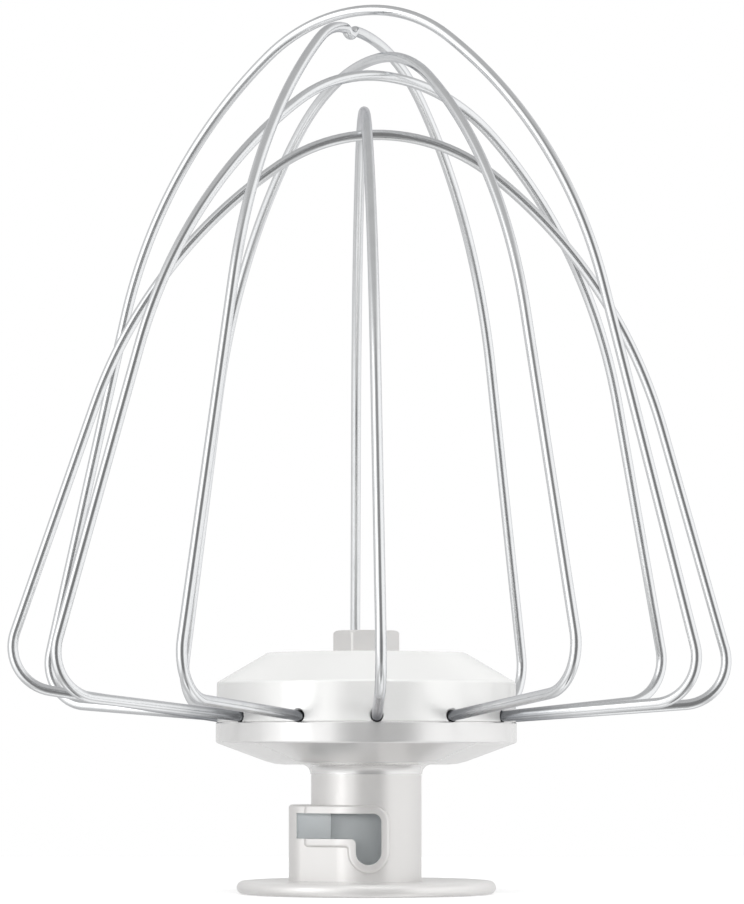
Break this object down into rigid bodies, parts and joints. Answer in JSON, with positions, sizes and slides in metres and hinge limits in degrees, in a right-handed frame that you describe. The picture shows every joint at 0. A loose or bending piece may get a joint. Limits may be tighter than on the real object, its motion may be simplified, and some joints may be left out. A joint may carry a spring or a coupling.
{
  "type": "stand mixer wire whip",
  "caption": "Wire whip for a stand mixer: nested wire hoops clamped in a bevelled round hub, on a drive sleeve with a bayonet slot and a drip flange.",
  "frame": {"origin": "centre of the drip flange's underside, on the drive axis", "axes": "+Z along the drive axis from the flange to the crown of the cage; -Y is the side with the bayonet slot; -X is the side with the entry channel"},
  "size_m": [0.1237, 0.1247, 0.1529],
  "materials": {
    "satin_metal": "satin, turned and lightly polished",
    "satin_white_metal": "satin, near white",
    "plain_steel": "as machined, out of sight",
    "nut_steel": "satin, warm grey",
    "wire_steel": "drawn wire, bright polished"
  },
  "bodies": {
    "root": {"drip_flange": "satin_metal", "drive_sleeve": "satin_metal", "hub_base": "satin_metal", "hub_cap": "satin_white_metal", "clamp_plate": "plain_steel", "clamp_stud": "plain_steel", "hex_nut": "nut_steel", "wire_loop_1": "wire_steel", "wire_loop_2": "wire_steel", "wire_loop_3": "wire_steel", "wire_loop_4": "wire_steel", "wire_loop_5": "wire_steel", "wire_loop_6": "wire_steel"}
  },
  "joints": []
}
